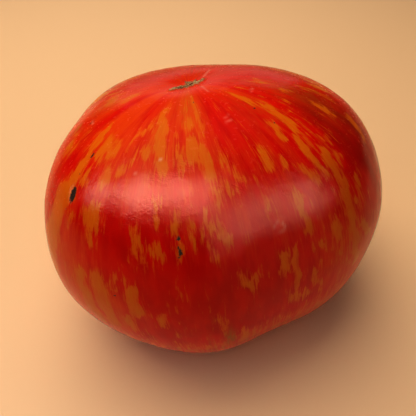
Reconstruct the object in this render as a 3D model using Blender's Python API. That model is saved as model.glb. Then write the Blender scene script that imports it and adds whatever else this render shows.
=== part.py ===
"""A large striped beefsteak tomato, one solid fruit, resting on its stem end with the blossom end up.

The skin is a formula of two angles: azimuth round the fruit's axis, and latitude from the stem end (-90 degrees)
to the blossom end (+90 degrees). Metres, +Z up, origin on the resting surface under the middle of the fruit.
"""

import math

import bmesh
import bpy
import numpy as np

# The body: an oval, a little square in profile, flatter than it is wide
LONG_RADIUS = 0.0490
SHORT_RADIUS = 0.0406
LONG_AZIMUTH = math.radians(9.5)
BLOSSOM_HEIGHT = 0.0383
STEM_HEIGHT = 0.0380
BLOSSOM_SQUARENESS = 2.28
STEM_SQUARENESS = 2.10
SQUARE_BY = math.radians(40)

# Lobes as (how many round the fruit, share of the radius, azimuth of a crest); the low ones fade in below the middle
LOBES = (
    (3, 0.049, math.radians(7)),
    (4, 0.0135, math.radians(42)),
    (5, 0.004, math.radians(-15)),
    (6, 0.0125, math.radians(27)),
)
LOW_LOBES = (
    (2, 0.005, math.radians(59)),
    (3, 0.005, math.radians(22)),
    (7, 0.006, math.radians(12)),
)
LOW_LOBES_BY = math.radians(-55)

# The blossom end: a wide shallow dip, a pucker along the scar and the corky scar itself
DIP_DEPTH = 0.0005
DIP_RADIUS = 0.0190
SCAR_AZIMUTH = math.radians(32)
SCAR_LENGTH = 0.0106
SCAR_WIDTH = 0.0022
SCAR_RISE = 0.0004
PUCKER_DEPTH = 0.0011
PUCKER_LENGTH = 0.0150
PUCKER_WIDTH = 0.0080

# The stem end: ribbed shoulders round a hollow, as shares of the body's width, with the stem's round scar inside
HOLLOW_DEPTH = 0.0105
HOLLOW_SHARE = 0.23
SHOULDER_SHARE = 0.38
RIB_HEIGHT = 0.0007
RIBS = (
    (7, 0.50, math.radians(12)),
    (4, 0.30, math.radians(25)),
    (11, 0.20, math.radians(5)),
)
STEM_SCAR_RADIUS = 0.0045
STEM_SCAR_RISE = 0.0006

# How the fruit stands: it leans over its level stem end, its middle drifts, and its weight presses it flat below
LEAN_LEFT = math.radians(6.0)
LEAN_AWAY = math.radians(7.6)
DRIFT_LEFT = 0.0022
DRIFT_AWAY = 0.0010
DRIFT_HEIGHT = 0.0370
FLAT_DEPTH = 0.0006

# The mesh: rings of points, crowded towards both ends where the small forms are
SEGMENTS = 84
RINGS = 51
CROWDING = 0.49

SKIN_COLOUR = (0.52, 0.016, 0.008, 1)
SKIN_ROUGHNESS = 0.32
CORK_COLOUR = (0.32, 0.21, 0.10, 1)
CORK_ROUGHNESS = 0.85


def smoothstep(t):
    """0 below 0, 1 above 1 and a smooth rise between."""
    t = np.clip(t, 0, 1)
    return t * t * (3 - 2 * t)


def lobed(lobes, azimuth):
    """What a set of lobes or ribs adds at an azimuth."""
    return sum(share * np.cos(count * (azimuth - crest)) for count, share, crest in lobes)


def widest(azimuth, latitude):
    """How far the body reaches from its axis at an azimuth, before it closes towards its ends."""
    turn = azimuth - LONG_AZIMUTH
    oval = 1 / np.hypot(np.cos(turn) / LONG_RADIUS, np.sin(turn) / SHORT_RADIUS)
    low = smoothstep(latitude / LOW_LOBES_BY)
    return oval * (1 + lobed(LOBES, azimuth) + low * lobed(LOW_LOBES, azimuth))


def along_scar(x, y, length, width):
    """The squared distance from the axis in an oval measure that lies along the blossom scar, 1 at its rim."""
    along = x * math.cos(SCAR_AZIMUTH) + y * math.sin(SCAR_AZIMUTH)
    across = y * math.cos(SCAR_AZIMUTH) - x * math.sin(SCAR_AZIMUTH)
    return (2 * along / length) ** 2 + (2 * across / width) ** 2


def blossom_dip(x, y, radius):
    """How far the blossom end lies below the plain body: the dip, the pucker and the raised scar."""
    dip = DIP_DEPTH * np.exp(-((radius / DIP_RADIUS) ** 2))
    pucker = PUCKER_DEPTH * np.exp(-along_scar(x, y, PUCKER_LENGTH, PUCKER_WIDTH))
    scar = SCAR_RISE * np.exp(-along_scar(x, y, SCAR_LENGTH, SCAR_WIDTH))
    return dip + pucker - scar


def stem_hollow(azimuth, share, radius):
    """How far the stem end lies above the plain body: the hollow, the ribs round it and the stem's raised scar."""
    hollow = HOLLOW_DEPTH * np.exp(-((share / HOLLOW_SHARE) ** 2))
    reach = (share / SHOULDER_SHARE) ** 2
    ribs = RIB_HEIGHT * lobed(RIBS, azimuth) * reach * np.exp(1 - reach)
    scar = STEM_SCAR_RISE * smoothstep(2 * (1 - radius / STEM_SCAR_RADIUS))
    return hollow - ribs - scar


def lean(side, height, angle):
    """Turns points about a place halfway up the stem end, by an angle that grows from nothing at the base."""
    pivot = -STEM_HEIGHT / 2
    rise = height - pivot
    turn = angle * smoothstep((height + STEM_HEIGHT) / (0.9 * STEM_HEIGHT))
    return side * np.cos(turn) + rise * np.sin(turn), pivot + rise * np.cos(turn) - side * np.sin(turn)


def skin(azimuth, latitude):
    """The skin before the fruit is set down: its points, and which of them are corky."""
    upper = latitude >= 0
    height = np.where(upper, BLOSSOM_HEIGHT, STEM_HEIGHT)
    squareness = np.where(upper, BLOSSOM_SQUARENESS, STEM_SQUARENESS)
    squareness = 2 + (squareness - 2) * smoothstep(np.abs(latitude) / SQUARE_BY)
    share = np.cos(latitude) ** (2 / squareness)
    radius = widest(azimuth, latitude) * share
    x = radius * np.cos(azimuth)
    y = radius * np.sin(azimuth)
    z = np.sign(latitude) * height * np.abs(np.sin(latitude)) ** (2 / squareness)
    z = z + np.where(upper, -blossom_dip(x, y, radius), stem_hollow(azimuth, share, radius))
    corky = np.where(upper, along_scar(x, y, SCAR_LENGTH, SCAR_WIDTH) < 1, radius < STEM_SCAR_RADIUS)
    drift = z * np.abs(z) / DRIFT_HEIGHT**2
    x, z = lean(x - DRIFT_LEFT * drift, z, -LEAN_LEFT)
    y, z = lean(y + DRIFT_AWAY * drift, z, LEAN_AWAY)
    return np.stack([x, y, z], -1), corky


def set_down(points):
    """Centres the fruit's box over the origin and presses its lowest places flat at z = 0."""
    low = points.reshape(-1, 3).min(0)
    high = points.reshape(-1, 3).max(0)
    points = points - np.array([(low[0] + high[0]) / 2, (low[1] + high[1]) / 2, low[2] + FLAT_DEPTH])
    points[..., 2] = np.maximum(points[..., 2], 0)
    return points


def skin_rings():
    """Rings of skin points from the stem end to the blossom end, the first and last shrunk to a point."""
    step = np.linspace(-1, 1, RINGS + 2)
    latitude = math.pi / 2 * step * (1 + CROWDING * (1 - step**2))
    azimuth = np.linspace(0, 2 * math.pi, SEGMENTS, endpoint=False)
    points, corky = skin(azimuth[None, :], latitude[:, None])
    return set_down(points), corky


def make_tomato(skin_material, cork_material):
    """The whole fruit as one closed body: bands of quads between the rings and a fan at each end."""
    points, corky = skin_rings()
    form = bmesh.new()
    ends = [form.verts.new(points[0, 0]), form.verts.new(points[-1, 0])]
    rings = [[form.verts.new(point) for point in ring] for ring in points[1:-1]]
    cork = {vert: flag for ring, flags in zip(rings, corky[1:-1]) for vert, flag in zip(ring, flags)}
    cork.update({end: True for end in ends})
    for k in range(SEGMENTS):
        after = (k + 1) % SEGMENTS
        form.faces.new([ends[0], rings[0][after], rings[0][k]])
        form.faces.new([ends[1], rings[-1][k], rings[-1][after]])
        for low, high in zip(rings, rings[1:]):
            form.faces.new([low[k], low[after], high[after], high[k]])
    for face in form.faces:
        corky_corners = sum(bool(cork[vert]) for vert in face.verts)
        face.material_index = int(2 * corky_corners > len(face.verts))
    mesh = bpy.data.meshes.new("tomato")
    form.to_mesh(mesh)
    form.free()
    mesh.shade_smooth()
    mesh.materials.append(skin_material)
    mesh.materials.append(cork_material)
    tomato = bpy.data.objects.new("tomato", mesh)
    bpy.context.scene.collection.objects.link(tomato)


def principled(name, colour, roughness):
    """A material of one colour and roughness."""
    material = bpy.data.materials.new(name)
    material.use_nodes = True
    material.diffuse_color = colour
    shader = material.node_tree.nodes["Principled BSDF"]
    shader.inputs["Base Color"].default_value = colour
    shader.inputs["Roughness"].default_value = roughness
    shader.inputs["Metallic"].default_value = 0
    return material


def main():
    for obj in list(bpy.data.objects):
        bpy.data.objects.remove(obj)
    make_tomato(
        principled("tomato_skin", SKIN_COLOUR, SKIN_ROUGHNESS),
        principled("scar_cork", CORK_COLOUR, CORK_ROUGHNESS),
    )


main()
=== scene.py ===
"""The looks of a large striped beefsteak tomato, standing on its stem end with the blossom end up.

The skin repeats the part's formula on a finer grid, with its scars, pits and wrinkles as real relief. A place
on it is an azimuth round the fruit, -90 degrees towards the viewer, and a latitude, 90 at the blossom end.
"""

import math

import bpy
import numpy as np
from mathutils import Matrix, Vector


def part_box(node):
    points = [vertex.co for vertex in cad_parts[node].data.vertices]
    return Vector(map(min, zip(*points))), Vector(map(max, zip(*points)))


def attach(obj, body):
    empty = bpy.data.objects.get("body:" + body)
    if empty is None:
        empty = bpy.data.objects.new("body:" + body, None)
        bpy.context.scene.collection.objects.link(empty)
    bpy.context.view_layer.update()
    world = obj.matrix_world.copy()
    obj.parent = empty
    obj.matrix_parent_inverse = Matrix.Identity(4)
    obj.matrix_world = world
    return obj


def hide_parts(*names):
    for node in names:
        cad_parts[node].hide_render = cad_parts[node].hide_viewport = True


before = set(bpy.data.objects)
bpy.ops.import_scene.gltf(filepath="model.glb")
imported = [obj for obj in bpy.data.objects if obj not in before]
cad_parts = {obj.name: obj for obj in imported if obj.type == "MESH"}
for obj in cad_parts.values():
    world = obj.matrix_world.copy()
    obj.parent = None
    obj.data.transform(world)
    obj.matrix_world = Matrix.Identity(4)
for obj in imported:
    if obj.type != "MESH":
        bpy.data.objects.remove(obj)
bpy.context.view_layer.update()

# The body, as in the part: an oval, a little square in profile, flatter than it is wide
LONG_RADIUS = 0.0490
SHORT_RADIUS = 0.0406
LONG_AZIMUTH = math.radians(9.5)
BLOSSOM_HEIGHT = 0.0383
STEM_HEIGHT = 0.0380
BLOSSOM_SQUARENESS = 2.28
STEM_SQUARENESS = 2.10
SQUARE_BY = math.radians(40)

# Lobes as (count, share of the radius, azimuth of a crest); the low ones fade in below the middle
LOBES = (
    (3, 0.049, math.radians(7)),
    (4, 0.0135, math.radians(42)),
    (5, 0.004, math.radians(-15)),
    (6, 0.0125, math.radians(27)),
)
LOW_LOBES = (
    (2, 0.005, math.radians(59)),
    (3, 0.005, math.radians(22)),
    (7, 0.006, math.radians(12)),
)
LOW_LOBES_BY = math.radians(-55)

# The blossom end: a wide shallow dip and a pucker along the scar
DIP_DEPTH = 0.0005
DIP_RADIUS = 0.0190
SCAR_AZIMUTH = math.radians(32)
PUCKER_DEPTH = 0.0011
PUCKER_LENGTH = 0.0150
PUCKER_WIDTH = 0.0080

# The stem end: shoulders round a hollow, as shares of the body's width, with the stem's scar inside
HOLLOW_DEPTH = 0.0105
HOLLOW_SHARE = 0.23
SHOULDER_SHARE = 0.38
RIB_HEIGHT = 0.0007
RIBS = (
    (7, 0.50, math.radians(12)),
    (4, 0.30, math.radians(25)),
    (11, 0.20, math.radians(5)),
)
STEM_SCAR_RADIUS = 0.0045
STEM_SCAR_RISE = 0.0006

# How the fruit stands: it leans over its stem end, its middle drifts, and it is pressed flat below
LEAN_LEFT = math.radians(6.0)
LEAN_AWAY = math.radians(7.6)
DRIFT_LEFT = 0.0022
DRIFT_AWAY = 0.0010
DRIFT_HEIGHT = 0.0370
FLAT_DEPTH = 0.0006

# The fine grid: more points on the viewer's side, and rings crowded a little towards both ends
SEGMENTS = 480
RINGS = 204
VIEWER_CROWDING = 0.30
END_CROWDING = 0.33

# Straight flames: azimuth at the top and at the bottom, top and bottom latitude, half width, strength
STRAIGHT_FLAMES = (
    (-173, -173, 70, 65, 10, 0.70),
    (-160, -160, 78, 70, 5, 0.60),
    (-161.5, -161.5, 55, 51, 4, 0.70),
    (-154, -154, 53, 45, 4, 0.60),
    (-151.5, -151.5, 60, 54, 3, 0.50),
    (-134, -134, 47, 41, 1.3, 0.90),
    (-132.5, -132.5, 61, 50, 2.5, 0.90),
    (-135.7, -135.7, 33, 26, 0.8, 0.55),
    (-132, -130, 14, -15, 2, 0.95),
    (-128, -128, 60, 51, 1.8, 0.75),
    (-125.5, -124, 50, 41, 2.3, 0.85),
    (-126.5, -126.5, 37, 27, 3, 0.80),
    (-128, -125.5, 27, 21, 1.2, 0.70),
    (-120, -120, 65, 57, 1, 0.80),
    (-117, -117, 65, 62, 1.5, 0.70),
    (-118.8, -118.8, 51, 45, 1.8, 0.75),
    (-112, -112, 58, 53.5, 3.5, 0.85),
    (-115.5, -115.5, 57, 50, 1, 0.60),
    (-113, -113, 69, 64, 2, 0.60),
    (-107.5, -107.5, 50, 45, 2, 0.50),
    (-103.5, -103.5, 42, 36, 1.5, 0.55),
    (-103.7, -103.7, 35, 31, 0.7, 0.60),
    (-104, -104, 27, 20, 2, 0.70),
    (-111, -111, 33, 20, 1.3, 0.60),
    (-108.3, -108.3, 24, 17, 1.2, 0.50),
    (-113.5, -113.5, 21, 18, 1, 0.40),
    (-97.5, -97.5, 35, 28, 1, 0.80),
    (-97, -97, 28, 20, 1.2, 0.55),
    (-100.3, -100.3, 31, 28, 0.6, 0.45),
    (-93, -92, 34, 23, 0.9, 0.60),
    (-92, -92, 44, 38, 1, 0.50),
    (-94.5, -94, 58, 48, 1.5, 0.75),
    (-96.5, -96.5, 62, 60, 1, 0.60),
    (-88.5, -88.5, 60, 50, 3, 1.00),
    (-89, -89, 70, 63, 3, 0.75),
    (-90, -90, 81, 70, 3, 0.55),
    (-87.5, -87.5, 36, 29, 0.8, 0.70),
    (-86, -86, 31, 26, 1.3, 0.75),
    (-83.7, -83.7, 28, 24.5, 1.3, 0.70),
    (-81.5, -81.5, 26, 22, 1.3, 0.75),
    (-89.5, -89.5, 31, 22, 0.8, 0.55),
    (-87.5, -86.5, 25, 16, 1.5, 0.50),
    (-119.5, -119.5, 12, 8, 2, 0.55),
    (-117, -117, 15, 11, 2, 0.55),
    (-125, -124, 15, -12, 2.5, 0.90),
    (-113.5, -113.5, 12, -3, 1.7, 1.00),
    (-116.7, -116.7, -3, -11, 1.3, 0.75),
    (-106, -105.5, 1, -8, 1.5, 0.65),
    (-104.8, -104.8, 2, -3, 0.7, 0.50),
    (-102.5, -101.5, -8, -15, 0.8, 0.60),
    (-100.3, -100.3, -3, -7, 0.6, 0.40),
    (-98.5, -98, 17, -2, 1.2, 0.25),
    (-92.5, -92.5, 6, -4, 1, 0.15),
    (-88, -87, -1, -15, 0.8, 0.60),
    (-83.5, -82, 58, 43, 2, 0.90),
    (-81.5, -81.5, 44, 33, 1.7, 0.60),
    (-81.5, -81.5, 80, 58, 2.5, 0.60),
    (-74.5, -74.5, 52, 45, 1.8, 0.70),
    (-78.5, -78.5, 45, 39, 1.2, 0.60),
    (-76.5, -76.5, 43, 37, 1.2, 0.65),
    (-74.5, -74.5, 41, 34, 1.3, 0.70),
    (-72, -71, 46, 39, 1.2, 0.70),
    (-74.3, -74.3, 61, 54, 1.2, 0.40),
    (-65, -65, 43, 38, 1.2, 0.35),
    (-64.5, -64.5, 33, 26, 2.2, 0.50),
    (-74.5, -74.5, 25, 19, 1.2, 0.30),
    (-79, -75.5, 12, 3, 2.2, 0.66),
    (-73.3, -73.3, 12, 5, 1.5, 0.66),
    (-76, -75, 5, 1, 1, 0.45),
    (-63.2, -63.2, 14, 4, 1.5, 0.75),
    (-54.5, -54.5, -7, -14, 1.2, 0.75),
    (-60, -59, -6, -12, 1.5, 0.75),
    (-53.5, -53.5, -8, -15, 0.9, 0.60),
    (-52.3, -51.7, 32, 15, 1.4, 0.75),
    (-50.7, -50.7, 12, 8, 1, 0.65),
    (-47.9, -47.9, 13, 6, 0.6, 0.70),
    (-49.5, -49.5, 6, 2, 0.8, 0.50),
    (-48.5, -46.8, -4, -15, 0.8, 0.55),
    (-56, -57.5, 51, 40, 2, 0.85),
    (-60, -60, 37, 33, 1, 0.35),
    (-51, -53, 44, 38, 1.2, 0.60),
    (-62.5, -62.5, 74, 69, 1.5, 0.45),
    (-56, -56, 69, 65, 1.5, 0.35),
    (-59.5, -59.5, 57, 54, 1.2, 0.40),
    (-57, -57, 62, 59, 1.2, 0.40),
    (-45.7, -45.7, 40, 33, 0.8, 0.65),
    (-43.2, -43.2, 38, 29, 1.2, 0.65),
    (-42, -42, 19, 9, 1.5, 0.80),
    (-41.5, -40.3, 10, 3, 1, 0.70),
    (-32, -32, 67, 64, 1.5, 0.60),
    (-31, -30, 21, 16, 0.8, 0.60),
    (-30, -30, 38, 32, 1, 0.65),
    (-28.3, -28.3, 45, 40, 1.5, 0.65),
    (-27, -27, 27, 21, 1.5, 0.75),
    (-23.7, -23.7, 19, 14, 1, 0.45),
    (-28, -28, 59, 57, 3, 0.55),
    (-28.5, -28.5, 54, 51, 2, 0.40),
    (-27.5, -27.5, 68, 66, 2, 0.45),
    (-23.5, -23.5, 75.5, 74, 3, 0.45),
    (-20.5, -20.5, 62, 60, 2, 0.50),
    (-10.5, -10.5, 65.5, 62, 3, 0.70),
    (-4, -4, 75, 68, 4, 0.60),
    (-15, -15, 39, 36, 1, 0.35),
    (-1, -1, 60, 44, 1.5, 0.50),
)

# Flames that wind: strength, then (latitude, azimuth, half width) from the top down
WINDING_FLAMES = (
    (0.95, (64, -143, 1.5), (60, -141, 2), (55, -139, 2), (50, -139, 1.2), (45, -139, 2), (40, -139.5, 3),
     (37, -141, 5), (33, -142, 3.5), (27, -143.5, 3.2), (20, -145, 4), (15, -146.5, 4), (8, -148.5, 4),
     (0, -150, 4), (-8, -150, 3)),
    (0.97, (76, -109.5, 2.5), (70, -108, 2.5), (65, -106, 3), (60, -105, 3), (55, -103, 3), (50, -102, 2),
     (47, -101.5, 0.8)),
    (0.65, (14, -61.5, 0.8), (10, -63, 0.8), (4, -61, 0.8)),
    (0.75, (15, -57, 0.9), (11, -58.7, 1.1), (7, -59, 1.2), (2, -58, 1.1), (-5, -58.3, 1), (-10, -58, 1),
     (-14, -57, 0.9)),
    (0.70, (3, -53, 1.1), (2, -52, 1.1), (-3, -51, 1.1), (-8, -50.3, 1.1)),
    (0.85, (58, -41.3, 1.3), (53, -42, 1.3), (48, -43.8, 1.3)),
    (0.82, (76, -38, 2), (70, -38, 2.5), (65, -38, 2.5)),
    (0.85, (66, -33.5, 1.8), (60, -35, 1.8), (55, -34.7, 1.8), (48, -35, 1.8)),
    (0.90, (50, -37.5, 1.3), (45, -38.8, 1.3), (40, -39, 1.3), (36, -39.2, 1.3), (31, -38, 1.3)),
    (0.85, (42, -33.7, 1.3), (35, -34, 1.4), (25, -34, 1.4), (20, -34.7, 1.5), (15, -35.5, 1.5),
     (10, -35, 1.4), (5, -34.6, 1.4), (0, -34, 1.4), (-5, -33, 1.4), (-10, -33, 1.3)),
    (0.75, (11, -30.5, 1.3), (5, -28.5, 1.3), (0, -26.5, 1.3)),
    (0.95, (53, -11.5, 1.7), (48, -13, 1.7), (45, -13.7, 1.7)),
    (0.80, (42, -6, 1.8), (38, -6.5, 1.8), (33, -8, 1.8), (28, -10, 1.8)),
)

# Soft orange patches as (azimuth, latitude, half width, half height, strength); below 0 is deeper red
# Below 0, the patches at -12 degrees on the upper right and at -85 and -88 low at the front are painted shade
BLUSHES_AND_SHADES = (
    (-136, 68, 9, 11, 0.9),
    (-128, 78, 16, 7, 0.4),
    (-36, 56, 13, 16, -0.4),
    (-165, 68, 14, 10, 0.6),
    (-160, 35, 10, 18, 0.3),
    (-90, 74, 10, 9, 0.7),
    (-104, 66, 7, 12, 0.5),
    (-80, 66, 6, 12, 0.4),
    (-34, 66, 8, 14, 0.3),
    (-149, 70, 5, 10, -0.8),
    (-146, 47, 5, 5, -0.6),
    (-124, 76, 6, 9, -0.8),
    (-99, 72, 3, 7, -0.6),
    (-68, 66, 9, 14, -0.8),
    (-50, 64, 7, 12, -0.6),
    (-114, 24, 9, 10, -0.6),
    (-85, 5, 26, 16, -0.6),
    (-88, -12, 28, 9, -0.5),
    (-142, 2, 14, 22, 1.2),
    (-123, -4, 9, 12, 1.2),
    (-32, 0, 12, 20, 1.0),
    (-20, 38, 7, 18, -0.6),
    (-12, 46, 18, 34, -1.25),
    (-150, 25, 8, 14, -0.3),
)

# Places where thin flames crowd, as (azimuth, latitude, half width, half height, strength)
FLUSHES = (
    (-140, 4, 14, 20, 0.30),
    (-122, -6, 10, 12, 0.45),
    (-36, 4, 13, 22, 0.44),
    (-34, 45, 12, 22, 0.28),
    (-90, 62, 12, 14, 0.22),
    (-108, 60, 8, 12, 0.20),
    (-132, 56, 9, 14, 0.22),
    (-162, 66, 14, 12, 0.18),
    (40, 30, 20, 40, 0.15),
    (110, 20, 24, 36, 0.15),
)

# Pits as (azimuth, latitude, half width and half height in millimetres, depth in millimetres, darkness)
PITS = (
    (-136.9, 37, 0.80, 1.75, 0.35, 1.0),
    (-136.8, 51.7, 0.3, 0.9, 0.10, 0.85),
    (-137.6, 44.2, 0.28, 0.3, 0.06, 0.72),
    (-136.9, 46.2, 0.22, 0.35, 0.05, 0.62),
    (-138.6, 31.3, 0.3, 0.55, 0.08, 0.72),
    (-96.9, 27.5, 0.52, 0.5, 0.15, 0.95),
    (-97.2, 24.8, 0.25, 0.25, 0.05, 0.75),
    (-96.8, 23.1, 0.50, 0.60, 0.18, 0.95),
    (-97.5, 21.9, 0.42, 0.40, 0.15, 0.90),
    (-119.6, 6.4, 0.3, 0.3, 0.10, 0.9),
    (-112.5, 3.8, 0.4, 0.4, 0.05, 0.55),
    (-40.7, 64.3, 0.4, 0.4, 0.08, 0.75),
    (-40.5, 56, 0.4, 0.4, 0.08, 0.75),
    (-158.5, 59.3, 0.3, 0.9, 0.10, 0.7),
    (-81.5, 76, 0.45, 0.5, 0.06, 0.62),
)

# Thin pale scratches as (azimuth and latitude of both ends, half width in millimetres, strength)
SCRATCHES = (
    (-64.2, 22.6, -62.6, 23.6, 0.26, 0.40),
    (-62.6, 23.6, -60.8, 22.8, 0.26, 0.45),
    (-60.8, 22.8, -60.0, 20.8, 0.28, 0.55),
    (-64.0, 19.8, -60.6, 20.4, 0.25, 0.30),
    (-64.5, 62.4, -60.0, 63.0, 0.26, 0.35),
    (-63.5, 64.3, -59.0, 65.2, 0.25, 0.25),
    (-103.5, 53.5, -102.8, 53.4, 0.25, 0.8),
    (-113.4, 48.6, -112.8, 48.5, 0.22, 0.45),
    (-25.5, 71.4, -19.5, 71.8, 0.28, 0.35),
    (-160.0, 60.4, -155.5, 60.2, 0.25, 0.45),
    (42.0, 85.0, 51.0, 80.6, 0.35, 0.35),
    (-45.0, 84.7, -53.0, 80.0, 0.32, 0.28),
)

# Green left in the skin, as (azimuth, latitude, half width, half height, strength)
GREENS = (
    (-85.6, -19, 2.2, 6, 0.85),
    (-164, 53.5, 2.5, 2.0, 0.45),
    (-92.5, -20, 1.2, 5, 0.35),
    (-77.5, -24, 1.4, 4, 0.30),
    (24, 50, 5, 3, 0.5),
    (-89, 76, 14, 10, 0.28),
    (-108, 66, 5, 12, 0.15),
    (-168, 66, 10, 7, 0.25),
    (-8, 60, 14, 22, 0.34),
    (-42, 66, 14, 12, 0.18),
)

# The corky blossom scar, in millimetres: its half width along it, and its holes as (along, across, size)
SCAR_PROFILE = ((-6.2, 0.0), (-5.6, 0.35), (-4.4, 0.8), (-3.2, 0.85), (-2.4, 1.25), (-0.9, 1.45), (0.3, 1.75),
                (1.8, 1.65), (2.8, 1.3), (3.7, 0.7), (4.5, 0.25), (4.9, 0.0))
SCAR_OFFSET = -0.85
SCAR_RISE = 0.0003
SCAR_HOLES = ((-2.2, -0.1, 1.2), (0.1, 0.15, 1.1))

# Relief of the skin, in metres: wave lengths and heights, and how deep scratches and the scar's holes go
LUMP_LENGTH = 0.020
LUMP_HEIGHT = 0.00008
RIPPLE_LENGTH = 0.006
RIPPLE_HEIGHT = 0.000025
CORK_CRUMB_LENGTH = 0.0009
STEM_CRUMB_LENGTH = 0.0015
CRUMB_HEIGHT = 0.00012
SCRATCH_DEPTH = 0.00004
HOLE_DEPTH = 0.0006
SMOOTH_AT_ENDS = 0.0006

# The sides that the photograph doesn't show: clusters of flames, small flames low down and orange patches
UNSEEN_CLUSTERS = 20
UNSEEN_LOW_FLAMES = 60
UNSEEN_BLUSHES = 26

# Small waves that bend the flames: degrees and wave length in metres, round the fruit and along it
BEND_ROUND = 0.55
BEND_ROUND_LENGTH = 0.005
BEND_ALONG = 0.8
BEND_ALONG_LENGTH = 0.003

# Painted shade on the top towards the back and the right: what it takes from the orange, and the olive green
# that it shows
SHADE_LESS_ORANGE = 0.9
SHADE_OLIVE_GREEN = 0.38

# The skin's own measure for streaks, in millimetres: round the fruit, and along it for each radian
GRAIN_RADIUS = 46
GRAIN_HEIGHT = 42

MM = 0.001


def smoothstep(t):
    """0 below 0, 1 above 1 and a smooth rise between."""
    t = np.clip(t, 0, 1)
    return t * t * (3 - 2 * t)


def lobed(lobes, azimuth):
    """What a set of lobes or ribs adds at an azimuth."""
    return sum(share * np.cos(count * (azimuth - crest)) for count, share, crest in lobes)


def widest(azimuth, latitude):
    """How far the body reaches from its axis at an azimuth, before it closes towards its ends."""
    turn = azimuth - LONG_AZIMUTH
    oval = 1 / np.hypot(np.cos(turn) / LONG_RADIUS, np.sin(turn) / SHORT_RADIUS)
    low = smoothstep(latitude / LOW_LOBES_BY)
    return oval * (1 + lobed(LOBES, azimuth) + low * lobed(LOW_LOBES, azimuth))


def scar_axes(x, y):
    """Distances along and across the blossom scar."""
    along = x * math.cos(SCAR_AZIMUTH) + y * math.sin(SCAR_AZIMUTH)
    across = y * math.cos(SCAR_AZIMUTH) - x * math.sin(SCAR_AZIMUTH)
    return along, across


def blossom_dip(x, y, radius):
    """How far the blossom end lies below the plain body: the dip and the pucker."""
    along, across = scar_axes(x, y)
    dip = DIP_DEPTH * np.exp(-((radius / DIP_RADIUS) ** 2))
    return dip + PUCKER_DEPTH * np.exp(-((2 * along / PUCKER_LENGTH) ** 2) - (2 * across / PUCKER_WIDTH) ** 2)


def stem_hollow(azimuth, share, radius):
    """How far the stem end lies above the plain body: the hollow, the ribs round it and the stem's scar."""
    hollow = HOLLOW_DEPTH * np.exp(-((share / HOLLOW_SHARE) ** 2))
    reach = (share / SHOULDER_SHARE) ** 2
    ribs = RIB_HEIGHT * lobed(RIBS, azimuth) * reach * np.exp(1 - reach)
    scar = STEM_SCAR_RISE * smoothstep(2 * (1 - radius / STEM_SCAR_RADIUS))
    return hollow - ribs - scar


def lean(side, height, angle):
    """Turns points about a place halfway up the stem end, by an angle that grows from nothing at the base."""
    pivot = -STEM_HEIGHT / 2
    rise = height - pivot
    turn = angle * smoothstep((height + STEM_HEIGHT) / (0.9 * STEM_HEIGHT))
    return side * np.cos(turn) + rise * np.sin(turn), pivot + rise * np.cos(turn) - side * np.sin(turn)


def skin(azimuth, latitude):
    """The smooth skin before the fruit is set down, and each point's place across the upright fruit."""
    upper = latitude >= 0
    height = np.where(upper, BLOSSOM_HEIGHT, STEM_HEIGHT)
    squareness = np.where(upper, BLOSSOM_SQUARENESS, STEM_SQUARENESS)
    squareness = 2 + (squareness - 2) * smoothstep(np.abs(latitude) / SQUARE_BY)
    share = np.cos(latitude) ** (2 / squareness)
    radius = widest(azimuth, latitude) * share
    x = radius * np.cos(azimuth)
    y = radius * np.sin(azimuth)
    z = np.sign(latitude) * height * np.abs(np.sin(latitude)) ** (2 / squareness)
    z = z + np.where(upper, -blossom_dip(x, y, radius), stem_hollow(azimuth, share, radius))
    drift = z * np.abs(z) / DRIFT_HEIGHT**2
    leant_x, z = lean(x - DRIFT_LEFT * drift, z, -LEAN_LEFT)
    leant_y, z = lean(y + DRIFT_AWAY * drift, z, LEAN_AWAY)
    return np.stack([leant_x, leant_y, z], -1), x, y


def point_at(azimuth, latitude):
    """The smooth skin's point at one place, given in degrees."""
    return skin(np.array(math.radians(azimuth)), np.array(math.radians(latitude)))[0]


def outward(points):
    """Unit normals of a grid of skin points, rings by segments, that closes round the fruit."""
    around = np.roll(points, -1, 1) - np.roll(points, 1, 1)
    along = np.gradient(points, axis=0)
    normals = np.cross(around, along)
    length = np.linalg.norm(normals, axis=-1, keepdims=True)
    normals = normals / np.maximum(length, 1e-12)
    normals[0] = (0, 0, -1)
    normals[-1] = (0, 0, 1)
    return normals


def waves(points, length, count, seed):
    """Smooth seeded noise about 0, between about -1 and 1, with lumps of about half the wave length."""
    draw = np.random.default_rng(seed)
    total = np.zeros(points.shape[:-1])
    for _ in range(count):
        direction = draw.normal(size=3)
        direction *= draw.uniform(0.7, 1.3) / np.linalg.norm(direction)
        total += np.cos(2 * math.pi / length * (points @ direction) + draw.uniform(0, 2 * math.pi))
    return total / math.sqrt(count)


def apart(azimuth, place):
    """Degrees between azimuths, at most 180."""
    return np.abs((azimuth - place + 180) % 360 - 180)


def patch(azimuth, latitude, middle, height, width, tall):
    """A soft patch that is 1 at its middle and fades over its half width and half height."""
    return np.exp(-((apart(azimuth, middle) / width) ** 2) - ((latitude - height) / tall) ** 2)


def flame(azimuth, latitude, path, strength, spare, end):
    """One flame's soft field: full along its path, and fading across it and past its ends.

    The spare degrees widen the flame, and it fades out over the end degrees past both ends.
    """
    heights, centres, widths = (np.array(row, float)[::-1] for row in zip(*path))
    centre = np.interp(latitude, heights, centres)
    width = np.interp(latitude, heights, widths) + spare
    half = (heights[-1] - heights[0]) / 2
    away = np.abs(latitude - heights[0] - half)
    inside = smoothstep((half + end - away) / (2 * end)) / smoothstep((half + end) / (2 * end))
    across = 1 - smoothstep((apart(azimuth, centre) / width - 0.1) / 1.8)
    return strength * inside * across


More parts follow.
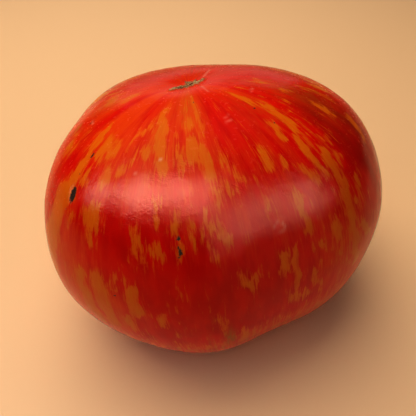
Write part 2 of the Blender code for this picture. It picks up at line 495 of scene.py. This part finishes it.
def unseen_flames(draw):
    """Flames for the sides that the photograph doesn't show, in clusters that run along the fruit."""
    flames = []
    for cluster in range(UNSEEN_CLUSTERS):
        middle = 4 + 178 * (cluster + draw.uniform(0.1, 0.9)) / UNSEEN_CLUSTERS
        for _ in range(draw.integers(3, 6)):
            top = draw.uniform(-12, 74)
            length = draw.uniform(5, 22)
            azimuth = middle + draw.normal(0, 3.0) / max(0.35, math.cos(math.radians(top)))
            width = draw.uniform(0.8, 2.4)
            turn = draw.normal(0, 1.0)
            strength = draw.uniform(0.5, 0.95)
            path = ((top, azimuth, width), (top - length / 2, azimuth + turn, width * 1.2),
                    (top - length, azimuth + 1.5 * turn, 0.6 * width))
            flames.append((path, strength))
    for _ in range(UNSEEN_LOW_FLAMES):
        top = draw.uniform(-46, -14)
        azimuth = draw.uniform(-180, 180)
        width = draw.uniform(0.8, 2.2)
        length = draw.uniform(5, 14)
        strength = draw.uniform(0.4, 0.85)
        flames.append((((top, azimuth, width), (top - length, azimuth, 0.7 * width)), strength))
    return flames


def flame_fields(azimuth, latitude):
    """How strong the flames are at each point, and the wider haloes round them, 0 in plain skin."""
    flames = [(((top, start, width), (bottom, stop, width)), strength)
              for start, stop, top, bottom, width, strength in STRAIGHT_FLAMES]
    flames += [(path, strength) for strength, *path in WINDING_FLAMES]
    flames += unseen_flames(np.random.default_rng(7))
    # Painted bounce light: flames crowd below the middle, partly the skin's own orange and partly warm light
    # from the floor
    field = 0.42 * smoothstep((-10 - latitude) / 16)
    halo = 0
    for *place, strength in FLUSHES:
        flush = strength * patch(azimuth, latitude, *place)
        field = field + 0.6 * flush
        halo = halo + 1.7 * flush
    for path, strength in flames:
        field = np.maximum(field, flame(azimuth, latitude, path, strength, spare=0.25, end=3.6))
        halo = np.maximum(halo, flame(azimuth, latitude, path, strength, spare=2.5, end=7))
    return field, halo


def blush_and_shade_field(azimuth, latitude):
    """How orange the skin between the flames is, with painted shade as deeper red and painted bounce light as
    orange low down, 0 in red and -1 in the darkest red.
    """
    draw = np.random.default_rng(11)
    field = 0.12 + 0.33 * smoothstep((latitude - 36) / 16) + 0.20 * smoothstep((latitude - 66) / 18)
    # Painted bounce light: more orange below the middle, partly the skin's own and partly warm light from the
    # floor
    field = field + 0.85 * smoothstep((-13 - latitude) / 12)
    patches = list(BLUSHES_AND_SHADES)
    for _ in range(UNSEEN_BLUSHES):
        patches.append((draw.uniform(5, 180), draw.uniform(-20, 76), draw.uniform(3, 9), draw.uniform(6, 14),
                        draw.uniform(-0.6, 0.7)))
    for *place, strength in patches:
        field = field + strength * patch(azimuth, latitude, *place)
    return np.clip(field, -1, 1)


def green_field(azimuth, latitude):
    """Where green is left in the skin, 0 to 1."""
    return np.max([strength * patch(azimuth, latitude, *place) for *place, strength in GREENS], 0)


def painted_shade_field(points, latitude):
    """Painted shade: the top darker and more olive towards the back and the right, 0 to 1; the olive is
    partly real.
    """
    back = smoothstep((points[..., 1] / MM - 2) / 16)
    right = 0.7 * smoothstep((points[..., 0] / MM - 12) / 18)
    return np.maximum(back, right) * smoothstep((latitude - 45) / 15)


def scratch_field(points):
    """How much of a thin pale scratch is at each point, 0 to 1."""
    field = np.zeros(points.shape[:-1])
    for start_azimuth, start_latitude, stop_azimuth, stop_latitude, width, strength in SCRATCHES:
        start = point_at(start_azimuth, start_latitude)
        run = point_at(stop_azimuth, stop_latitude) - start
        share = np.clip((points - start) @ run / (run**2).sum(), 0, 1)
        distance = np.linalg.norm(points - start - share[..., None] * run, axis=-1) / (width * MM)
        field = np.maximum(field, strength * np.exp(-(distance**2)))
    return field


def pit_fields(points):
    """Each pit's cone, 1 at its middle and 0 from twice its radius, and how deep the pits go in metres."""
    dark = np.zeros(points.shape[:-1])
    depth = np.zeros(points.shape[:-1])
    for azimuth, latitude, wide, tall, deep, darkness in PITS:
        centre = point_at(azimuth, latitude)
        upward = point_at(azimuth, latitude + 1) - centre
        upward /= np.linalg.norm(upward)
        offset = points - centre
        rise = offset @ upward
        side = np.sqrt(np.maximum((offset**2).sum(-1) - rise**2, 0))
        reach = np.hypot(rise / (tall * MM), side / (wide * MM))
        dark = np.maximum(dark, darkness * np.clip(1 - reach / 2, 0, 1))
        depth += deep * MM * np.exp(-((reach / 1.1) ** 2))
    return dark, depth


def scar_fields(x, y, flat_points):
    """The corky blossom scar's ragged patch, from 0 outside to 1, and the dark holes in it."""
    along, across = scar_axes(x / MM, y / MM)
    places, widths = zip(*SCAR_PROFILE)
    ragged = 0.22 * waves(flat_points, 1.3 * MM, 24, 21) + 0.12 * waves(flat_points, 0.6 * MM, 24, 22)
    middle = SCAR_OFFSET + 0.18 * np.sin(1.3 * along)
    half = np.interp(along, places, widths)
    cork = smoothstep((half * (1 + ragged) - np.abs(across - middle)) / 0.3 + 0.5) * (half > 0)
    holes = np.zeros(x.shape)
    for hole_along, hole_across, size in SCAR_HOLES:
        distance = np.hypot(along - hole_along, 2.4 * (across - middle - hole_across)) / size
        holes = np.maximum(holes, np.exp(-(distance**2)))
    return cork, holes


def stem_scar_field(radius, flat_points):
    """The stem's round corky scar with its uneven rim, from 0 outside to 1."""
    rim = STEM_SCAR_RADIUS * (1 + 0.06 * waves(flat_points, 4 * MM, 24, 31))
    return smoothstep((rim - radius) / (0.5 * MM) + 0.5)


def relief_field(points, cork, stem_cork, holes, scratch):
    """How far lumps, ripples, cork, holes and scratches move the smooth skin outwards, in metres."""
    relief = LUMP_HEIGHT * waves(points, LUMP_LENGTH, 24, 1)
    relief += RIPPLE_HEIGHT * waves(points, RIPPLE_LENGTH, 30, 2)
    relief += cork * (SCAR_RISE + CRUMB_HEIGHT * waves(points, CORK_CRUMB_LENGTH, 40, 3))
    relief += stem_cork * CRUMB_HEIGHT * waves(points, STEM_CRUMB_LENGTH, 40, 4)
    return relief - SCRATCH_DEPTH * scratch - HOLE_DEPTH * holes


def set_down(points):
    """Fits the fine skin to the part's box and presses its lowest places flat on the floor."""
    low = points.reshape(-1, 3).min(0) + (0, 0, FLAT_DEPTH)
    high = points.reshape(-1, 3).max(0)
    box_low, box_high = (np.array(corner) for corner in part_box("tomato"))
    points = box_low + (points - low) * (box_high - box_low) / (high - low)
    points[..., 2] = np.maximum(points[..., 2], 0)
    return points


def grid_angles():
    """The fine grid's azimuths, in one row, and its latitudes, in one column."""
    turn = np.linspace(0, 2 * math.pi, SEGMENTS, endpoint=False)
    azimuth = turn - VIEWER_CROWDING * np.cos(turn)
    step = np.linspace(-1, 1, RINGS + 2)
    latitude = math.pi / 2 * step * (1 + END_CROWDING * (1 - step**2))
    return azimuth[None, :], latitude[:, None]


def make_tomato():
    """The whole fruit as one closed mesh, with its colour fields as attributes on the points."""
    azimuth, latitude = grid_angles()
    points, x, y = skin(azimuth, latitude)
    flat_points = np.stack([x, y, np.zeros_like(x)], -1)
    radius = np.hypot(x, y)
    upper = latitude > 0
    pit, pit_depth = pit_fields(points)
    cork, holes = (field * upper for field in scar_fields(x, y, flat_points))
    stem_cork = stem_scar_field(radius, flat_points) * ~upper
    scratch = scratch_field(points)
    relief = relief_field(points, cork, stem_cork, holes, scratch) - pit_depth
    relief *= smoothstep(radius / SMOOTH_AT_ENDS)
    points = points + relief[..., None] * outward(points)
    points[0] = points[0, 0]
    points[-1] = points[-1, 0]
    points = set_down(points)
    across = np.degrees(azimuth)
    up = np.degrees(latitude)
    bend_round = BEND_ROUND * waves(points, BEND_ROUND_LENGTH, 30, 41) / np.cos(latitude) ** 0.5
    bend_along = BEND_ALONG * waves(points, BEND_ALONG_LENGTH, 30, 42)
    stripe, halo = flame_fields(across + bend_round, up + bend_along)
    # Painted shade: the top's back and right side are painted darker and more olive
    painted_shade = painted_shade_field(points, up)
    fields = {
        "stripe": stripe,
        "halo": halo,
        "blush_and_shade": blush_and_shade_field(across, up) - SHADE_LESS_ORANGE * painted_shade,
        "green": np.maximum(green_field(across, up), SHADE_OLIVE_GREEN * painted_shade),
        "scratch": scratch,
        "pit": pit,
        "cork": np.maximum(cork, stem_cork),
        "hole": holes,
        "crinkle": smoothstep((up - 8) / 22),
        "shoulder": smoothstep((-52 - up) / 16),
    }
    grain = (GRAIN_RADIUS * np.cos(azimuth), GRAIN_RADIUS * np.sin(azimuth), GRAIN_HEIGHT * latitude)
    return grid_object("tomato_fine_skin", points, fields, np.stack(np.broadcast_arrays(*grain), -1))


def grid_object(name, points, fields, grain):
    """A closed mesh from rings of points, the first and last ring being one point each."""
    rings = points.shape[0] - 2
    keep = [0] + list(range(SEGMENTS, SEGMENTS * (rings + 1))) + [SEGMENTS * (rings + 1)]
    flat = points.reshape(-1, 3)[keep]
    ring = np.arange(rings)[:, None] * SEGMENTS + 1
    this = np.arange(SEGMENTS)[None, :]
    after = (this + 1) % SEGMENTS
    low, high = ring[:-1], ring[1:]
    quads = np.stack([low + this, low + after, high + after, high + this], -1).reshape(-1, 4)
    last = len(flat) - 1
    bottom = np.stack([0 * this, 1 + after, 1 + this], -1).reshape(-1, 3)
    top = np.stack([0 * this + last, ring[-1] + this, ring[-1] + after], -1).reshape(-1, 3)
    mesh = bpy.data.meshes.new(name)
    mesh.from_pydata(flat.tolist(), [], quads.tolist() + bottom.tolist() + top.tolist())
    mesh.shade_smooth()
    for field, values in fields.items():
        values = np.broadcast_to(values, points.shape[:2]).reshape(-1)[keep]
        attribute = mesh.attributes.new(field, "FLOAT", "POINT")
        attribute.data.foreach_set("value", values.astype(np.float32))
    attribute = mesh.attributes.new("grain", "FLOAT_VECTOR", "POINT")
    attribute.data.foreach_set("vector", grain.reshape(-1, 3)[keep].astype(np.float32).ravel())
    fruit = bpy.data.objects.new(name, mesh)
    bpy.context.scene.collection.objects.link(fruit)
    return fruit


class Shader:
    """Builds one material's nodes. An input is a plain value or another node's output."""

    def __init__(self, name):
        self.material = bpy.data.materials.new(name)
        self.material.use_nodes = True
        self.tree = self.material.node_tree
        self.surface = self.tree.nodes["Principled BSDF"]

    def feed(self, socket, value):
        if isinstance(value, bpy.types.NodeSocket):
            self.tree.links.new(value, socket)
        else:
            socket.default_value = value

    def set(self, **inputs):
        """Feeds the surface's inputs, named with _ for a space."""
        for name, value in inputs.items():
            self.feed(self.surface.inputs[name.replace("_", " ")], value)

    def add(self, kind, inputs=(), **settings):
        """A node with its settings, and its inputs by name or number."""
        node = self.tree.nodes.new(kind)
        for setting, value in settings.items():
            setattr(node, setting, value)
        for key, value in dict(inputs).items():
            self.feed(node.inputs[key], value)
        return node

    def attribute(self, name, output="Fac"):
        return self.add("ShaderNodeAttribute", attribute_name=name).outputs[output]

    def math(self, operation, a, b, clamp=False):
        return self.add("ShaderNodeMath", {0: a, 1: b}, operation=operation, use_clamp=clamp).outputs[0]

    def scaled(self, value, factor, plus, clamp=False):
        """A value times a factor, plus another value."""
        inputs = {0: value, 1: factor, 2: plus}
        return self.add("ShaderNodeMath", inputs, operation="MULTIPLY_ADD", use_clamp=clamp).outputs[0]

    def spread(self, noise, width):
        """Noise of 0 to 1 moved to lie about 0, with this much between its ends."""
        return self.scaled(noise, width, -width / 2)

    def mix(self, share, a, b):
        return self.add("ShaderNodeMix", {0: share, 6: a, 7: b}, data_type="RGBA").outputs[2]

    def stretched(self, vector, scale):
        return self.add("ShaderNodeVectorMath", {0: vector, 1: scale}, operation="MULTIPLY").outputs[0]

    def noise(self, vector, scale, detail, roughness, wander=0.0):
        inputs = {"Vector": vector, "Scale": scale, "Detail": detail, "Roughness": roughness}
        inputs["Distortion"] = wander
        return self.add("ShaderNodeTexNoise", inputs).outputs["Fac"]

    def ramp(self, value, low, high, to_low=0.0, to_high=1.0):
        """A smooth rise of the result as the value goes from low to high."""
        inputs = {"Value": value, "From Min": low, "From Max": high, "To Min": to_low, "To Max": to_high}
        return self.add("ShaderNodeMapRange", inputs, interpolation_type="SMOOTHSTEP").outputs[0]


RED = (0.60, 0.009, 0.002, 1)
DEEP_RED = (0.53, 0.004, 0.001, 1)
# The darkest red is the skin's own in places, and painted shade on the top's back and right and low at the
# front
DARK_RED_AND_SHADE = (0.27, 0.003, 0.001, 1)
ORANGE_RED = (0.64, 0.055, 0.004, 1)
ORANGE = (0.62, 0.145, 0.005, 1)
OLIVE = (0.30, 0.13, 0.015, 1)
SHOULDER = (0.40, 0.24, 0.03, 1)
CORK = (0.38, 0.235, 0.115, 1)
DARK_CORK = (0.10, 0.055, 0.015, 1)
DARK_HOLE = (0.06, 0.010, 0.004, 1)
PALE_SCRATCH = (0.72, 0.36, 0.24, 1)
BLACK_PIT = (0.014, 0.007, 0.003, 1)
FLOOR = (0.71, 0.44, 0.23, 1)

# Noises that run along the fruit, as (stretch along it, scale, detail, roughness, wander)
GRAIN_NOISES = {
    "fibres": (0.13, 0.85, 3.0, 0.60, 0.5),
    "hairs": (0.12, 1.90, 2.0, 0.55, 0.7),
    "bands": (0.12, 0.30, 2.0, 0.50, 0.0),
    "blotches": (0.45, 0.28, 2.0, 0.50, 0.0),
    "combs": (0.30, 1.30, 4.0, 0.65, 0.0),
    "strands": (0.12, 0.95, 4.0, 0.62, 0.8),
}


def grain_noises(shader):
    """The noises that run along the fruit, by name."""
    grain = shader.attribute("grain", "Vector")
    noises = {}
    for name, (stretch, *settings) in GRAIN_NOISES.items():
        noises[name] = shader.noise(shader.stretched(grain, (1.0, 1.0, stretch)), *settings)
    return noises


def flame_mask(shader, noises):
    """Where the flames are, with edges that comb out along the fruit, and thin strands beside them."""
    swing = shader.math("ADD", shader.spread(noises["fibres"], 1.3), shader.spread(noises["combs"], 1.2))
    swing = shader.math("ADD", swing, shader.spread(noises["hairs"], 1.0))
    edge = shader.scaled(shader.attribute("stripe"), 1.1, swing)
    strand = shader.scaled(shader.attribute("halo"), 0.55, shader.spread(noises["strands"], 2.4))
    return shader.math("MAXIMUM", shader.ramp(edge, 0.28, 0.74), shader.ramp(strand, 0.34, 0.74, 0.0, 0.7))


def plain_skin(shader, noises):
    """The skin between the flames, from dark red to orange red, in bands and fine streaks; its dark red is
    partly painted shade.
    """
    blush_and_shade = shader.attribute("blush_and_shade")
    streaks = shader.math("ADD", shader.spread(noises["bands"], 1.6), shader.spread(noises["hairs"], 1.25))
    shade = shader.math("ADD", shader.spread(noises["bands"], 0.8), -0.40)
    red = shader.mix(shader.ramp(noises["blotches"], 0.35, 0.65), DEEP_RED, RED)
    red = shader.mix(shader.scaled(blush_and_shade, -1.0, shade, clamp=True), red, DARK_RED_AND_SHADE)
    return shader.mix(shader.math("ADD", blush_and_shade, streaks, clamp=True), red, ORANGE_RED)


def skin_colour(shader, noises):
    """Red skin with orange flames, some olive green, and yellow shoulders round the stem's hollow."""
    orange = shader.mix(shader.ramp(noises["hairs"], 0.3, 0.75, 0.0, 0.45), ORANGE, ORANGE_RED)
    colour = shader.mix(flame_mask(shader, noises), plain_skin(shader, noises), orange)
    speckle = shader.ramp(noises["combs"], 0.35, 0.6, 0.3, 1.0)
    colour = shader.mix(shader.math("MULTIPLY", shader.attribute("green"), speckle), colour, OLIVE)
    streaky = shader.ramp(noises["fibres"], 0.2, 0.7, 0.5, 1.0)
    return shader.mix(shader.math("MULTIPLY", shader.attribute("shoulder"), streaky), colour, SHOULDER)


def blemished(shader, colour, fine):
    """The colour with pits, scratches and corky scars over it, and where pits and cork make it dry."""
    crumble = shader.math("MULTIPLY", shader.attribute("pit"), shader.math("ADD", fine, 0.5))
    pit = shader.ramp(crumble, 0.36, 0.56)
    colour = shader.mix(pit, colour, shader.mix(shader.ramp(fine, 0.5, 0.7), BLACK_PIT, DARK_HOLE))
    colour = shader.mix(shader.math("MULTIPLY", shader.attribute("scratch"), 0.75), colour, PALE_SCRATCH)
    cork = shader.attribute("cork")
    crumbs = shader.ramp(fine, 0.38, 0.58, 0.15, 1.0)
    core = shader.math("MULTIPLY", shader.ramp(cork, 0.5, 0.98, 0.2, 1.0), crumbs)
    colour = shader.mix(cork, colour, shader.mix(core, DARK_CORK, CORK))
    colour = shader.mix(shader.ramp(shader.attribute("hole"), 0.25, 0.5), colour, DARK_HOLE)
    return colour, shader.math("MAXIMUM", cork, pit)


def skin_material():
    """Streaked skin with its blemishes under a satin wax, finely wrinkled on the upper half."""
    shader = Shader("tomato_skin_fine")
    place = shader.add("ShaderNodeNewGeometry").outputs["Position"]
    fine = shader.noise(place, 2200.0, 2.0, 0.6)
    colour, dry = blemished(shader, skin_colour(shader, grain_noises(shader)), fine)
    crinkle = shader.attribute("crinkle")
    wax = shader.math("MULTIPLY", shader.noise(place, 900.0, 3.0, 0.6), crinkle)
    wax = shader.ramp(wax, 0.3, 0.7, 0.19, 0.28)
    rough = shader.add("ShaderNodeMix", {0: dry, 2: wax, 3: 0.85}).outputs[0]
    wrinkles = shader.ramp(shader.noise(place, 190.0, 2.0, 0.5), 0.42, 0.62, 0.25, 1.0)
    pores = shader.noise(place, 1400.0, 3.0, 0.65)
    height = shader.math("MULTIPLY", pores, shader.math("MULTIPLY", wrinkles, crinkle))
    bump = shader.add("ShaderNodeBump", {"Strength": 1.0, "Distance": 0.00008, "Height": height})
    shader.set(Base_Color=colour, Roughness=rough, Normal=bump.outputs[0])
    shader.set(Subsurface_Weight=0.12, Subsurface_Radius=(1.0, 0.25, 0.12), Subsurface_Scale=0.0015)
    shader.set(IOR=1.33, Specular_IOR_Level=0.42, Specular_Tint=(1.0, 0.80, 0.62, 1))
    return shader.material


def floor_material():
    """A plain pale warm board tone."""
    shader = Shader("pale_floor")
    shader.set(Base_Color=FLOOR, Roughness=0.7)
    return shader.material


FLOOR_REACH = 3.0


def make_floor():
    corners = [(FLOOR_REACH * x, FLOOR_REACH * y, 0) for x, y in ((-1, -1), (1, -1), (1, 1), (-1, 1))]
    mesh = bpy.data.meshes.new("floor")
    mesh.from_pydata(corners, [], [(0, 1, 2, 3)])
    mesh.materials.append(floor_material())
    floor = bpy.data.objects.new("floor", mesh)
    bpy.context.scene.collection.objects.link(floor)


AIM = Vector((-0.0032, -0.0015, 0.0347))
CAMERA_DISTANCE = 0.1332
CAMERA_ELEVATION = math.radians(45)
FOCAL_LENGTH_PIXELS = 450
FRAME_PIXELS = 416
SENSOR = 36.0


def make_camera():
    """The photograph's close view from above, at 45 degrees."""
    data = bpy.data.cameras.new("camera")
    data.sensor_width = SENSOR
    data.lens = FOCAL_LENGTH_PIXELS / FRAME_PIXELS * SENSOR
    data.clip_start = 0.01
    camera = bpy.data.objects.new("camera", data)
    back = Vector((0, -math.cos(CAMERA_ELEVATION), math.sin(CAMERA_ELEVATION)))
    camera.location = AIM + CAMERA_DISTANCE * back
    camera.rotation_euler = (math.pi / 2 - CAMERA_ELEVATION, 0, 0)
    bpy.context.scene.collection.objects.link(camera)
    bpy.context.scene.camera = camera


# Lights as (name, azimuth right of the viewer, elevation, distance, width, height, radiance, kind)
LIGHTS = (
    ("key_high_left", -138, 68, 0.50, 0.56, 0.50, 2.50, "soft"),
    ("fill_front", -8, 55, 0.60, 0.52, 0.52, 0.50, "soft"),
    ("pane_left", -77, 31, 0.80, 0.24, 0.30, 5.5, "mirrored"),
    ("pane_middle", -51, 49, 0.80, 0.34, 0.32, 8.4, "mirrored"),
    ("glow_middle", -52, 48, 0.85, 0.60, 0.50, 2.2, "mirrored"),
    ("pane_high", -17, 63, 0.80, 0.36, 0.26, 5.0, "mirrored"),
    ("pane_high_right", 10, 56, 0.80, 0.34, 0.36, 4.4, "mirrored"),
    ("glow_high", 6, 55, 0.85, 0.62, 0.64, 2.3, "mirrored"),
    ("pane_right", 42, 23, 0.80, 0.40, 0.34, 1.9, "mirrored"),
    ("glow_right", 38, 25, 0.85, 0.66, 0.72, 1.5, "mirrored"),
    ("glow_low_right", 54, 18, 0.85, 0.40, 0.38, 0.6, "mirrored"),
    ("pane_far_right", 62, 18, 0.80, 0.24, 0.36, 1.8, "mirrored"),
    ("glow_back", 184, 14, 0.85, 0.80, 0.36, 0.32, "mirrored"),
)
LIGHT_COLOURS = {"soft": (1.0, 0.97, 0.92), "mirrored": (1.0, 1.0, 1.0)}

# A light's power for each square metre of it and each unit of radiance
AREA_POWER = 4

ROOM_COLOUR = (1.0, 0.93, 0.85, 1)
ROOM_STRENGTH = 0.02


def make_lights():
    """A soft key high behind on the left and a soft fill light the fruit. The rest show only in its gloss."""
    for name, azimuth, elevation, distance, width, height, radiance, kind in LIGHTS:
        data = bpy.data.lights.new(name, "AREA")
        data.shape = "RECTANGLE"
        data.size = width
        data.size_y = height
        data.energy = AREA_POWER * width * height * radiance
        data.color = LIGHT_COLOURS[kind]
        light = bpy.data.objects.new(name, data)
        turn = math.radians(azimuth)
        rise = math.radians(elevation)
        towards = Vector((math.sin(turn) * math.cos(rise), -math.cos(turn) * math.cos(rise), math.sin(rise)))
        light.location = AIM + distance * towards
        light.rotation_euler = towards.to_track_quat("Z", "Y").to_euler()
        light.visible_glossy = kind == "mirrored"
        light.visible_diffuse = kind == "soft"
        bpy.context.scene.collection.objects.link(light)
    world = bpy.data.worlds.new("room")
    world.use_nodes = True
    background = world.node_tree.nodes["Background"]
    background.inputs["Color"].default_value = ROOM_COLOUR
    background.inputs["Strength"].default_value = ROOM_STRENGTH
    bpy.context.scene.world = world


def main():
    bpy.context.scene.view_settings.view_transform = "Standard"
    bpy.context.scene.view_settings.look = "High Contrast"
    tomato = make_tomato()
    tomato.data.materials.append(skin_material())
    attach(tomato, "root")
    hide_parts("tomato")
    make_floor()
    make_camera()
    make_lights()


main()
